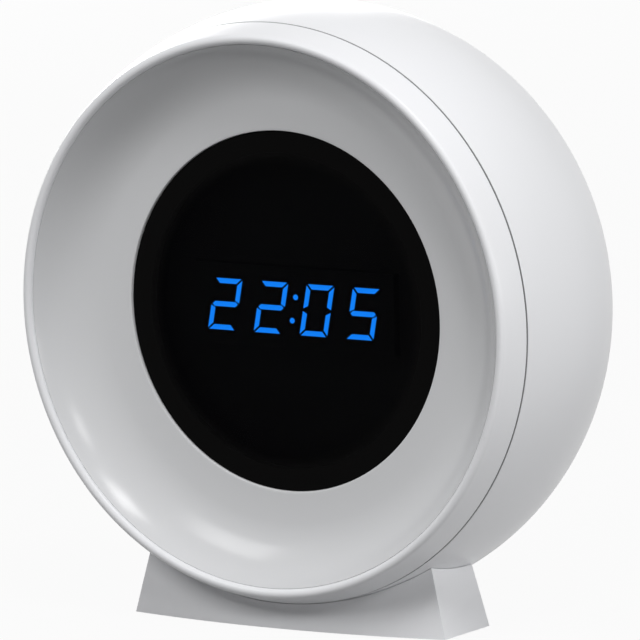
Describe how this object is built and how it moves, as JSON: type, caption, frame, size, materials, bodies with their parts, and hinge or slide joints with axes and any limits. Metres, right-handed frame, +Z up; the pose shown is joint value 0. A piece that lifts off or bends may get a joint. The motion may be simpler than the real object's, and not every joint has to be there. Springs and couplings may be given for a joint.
{
  "type": "night light clock",
  "caption": "Ball-shaped bedside night light clock: a white rounded housing with a concave lit dish round a dark circular display, on a low cradle stand.",
  "frame": {"origin": "middle of the bounding box's footprint, on the table under the foot pads", "axes": "+Z is up, the display faces -Y, +X is to the right seen from the front"},
  "size_m": [0.12, 0.05, 0.1229],
  "materials": {
    "shell_white": "smooth white moulded plastic",
    "dish_white": "translucent white plastic",
    "lens_smoke": "smoked, see-through",
    "display_black": "black",
    "lit_blue": "lit from behind",
    "board_green": "solder mask",
    "plate_metal": "black anodised stamped plate",
    "frame_grey": "moulded",
    "lamp_white": "clear cover over a pale phosphor",
    "socket_ivory": "moulded",
    "ribbon_grey": "flat cable sheath",
    "key_grey": "satin",
    "knob_black": "moulded",
    "metal_shell": "stamped",
    "cell_metal": "brushed can",
    "stand_white": "smooth white moulded plastic",
    "pad_rubber": "soft",
    "screw_steel": "plated"
  },
  "bodies": {
    "clock": {"front_bezel": "shell_white", "light_bowl": "dish_white", "display_lens": "lens_smoke", "display_module": "display_black", "lit_segments": "lit_blue", "dark_segments": "display_black", "display_board": "board_green", "mid_frame": "plate_metal", "light_ring_board": "board_green", "ring_lamps": "lamp_white", "ribbon_sockets": "socket_ivory", "ribbon_cable": "ribbon_grey", "rear_housing": "shell_white", "rear_panel": "shell_white", "push_switches": "frame_grey", "slide_switch": "metal_shell", "control_board": "board_green", "buzzer": "knob_black", "power_inlet": "metal_shell", "cell_holder": "frame_grey", "coin_cell": "cell_metal", "stand": "stand_white", "foot_pads": "pad_rubber", "frame_screws": "screw_steel", "panel_screws": "screw_steel", "board_screws": "screw_steel", "stand_screws": "screw_steel"},
    "set_button": {"set_button": "key_grey"},
    "up_button": {"up_button": "key_grey"},
    "down_button": {"down_button": "key_grey"},
    "light_button": {"light_button": "key_grey"},
    "slide_knob": {"slide_knob": "knob_black"},
    "cell_door": {"cell_door": "shell_white"}
  },
  "joints": [
    {"name": "set_button_press", "type": "slide", "parent": "clock", "child": "set_button", "axis": [0, -1, 0], "range_m": [0, 0.0006], "stiffness_N_per_m": 1500},
    {"name": "up_button_press", "type": "slide", "parent": "clock", "child": "up_button", "axis": [0, -1, 0], "range_m": [0, 0.0006], "stiffness_N_per_m": 1500},
    {"name": "down_button_press", "type": "slide", "parent": "clock", "child": "down_button", "axis": [0, -1, 0], "range_m": [0, 0.0006], "stiffness_N_per_m": 1500},
    {"name": "light_button_press", "type": "slide", "parent": "clock", "child": "light_button", "axis": [0, -1, 0], "range_m": [0, 0.0006], "stiffness_N_per_m": 1500},
    {"name": "slide_knob_move", "type": "slide", "parent": "clock", "child": "slide_knob", "axis": [1, 0, 0], "range_m": [0, 0.003]},
    {"name": "cell_door_turn", "type": "hinge", "parent": "clock", "child": "cell_door", "pos_m": [-0.013, 0.023, 0.0579], "axis": [0, 1, 0], "range_deg": [0, 45]}
  ]
}
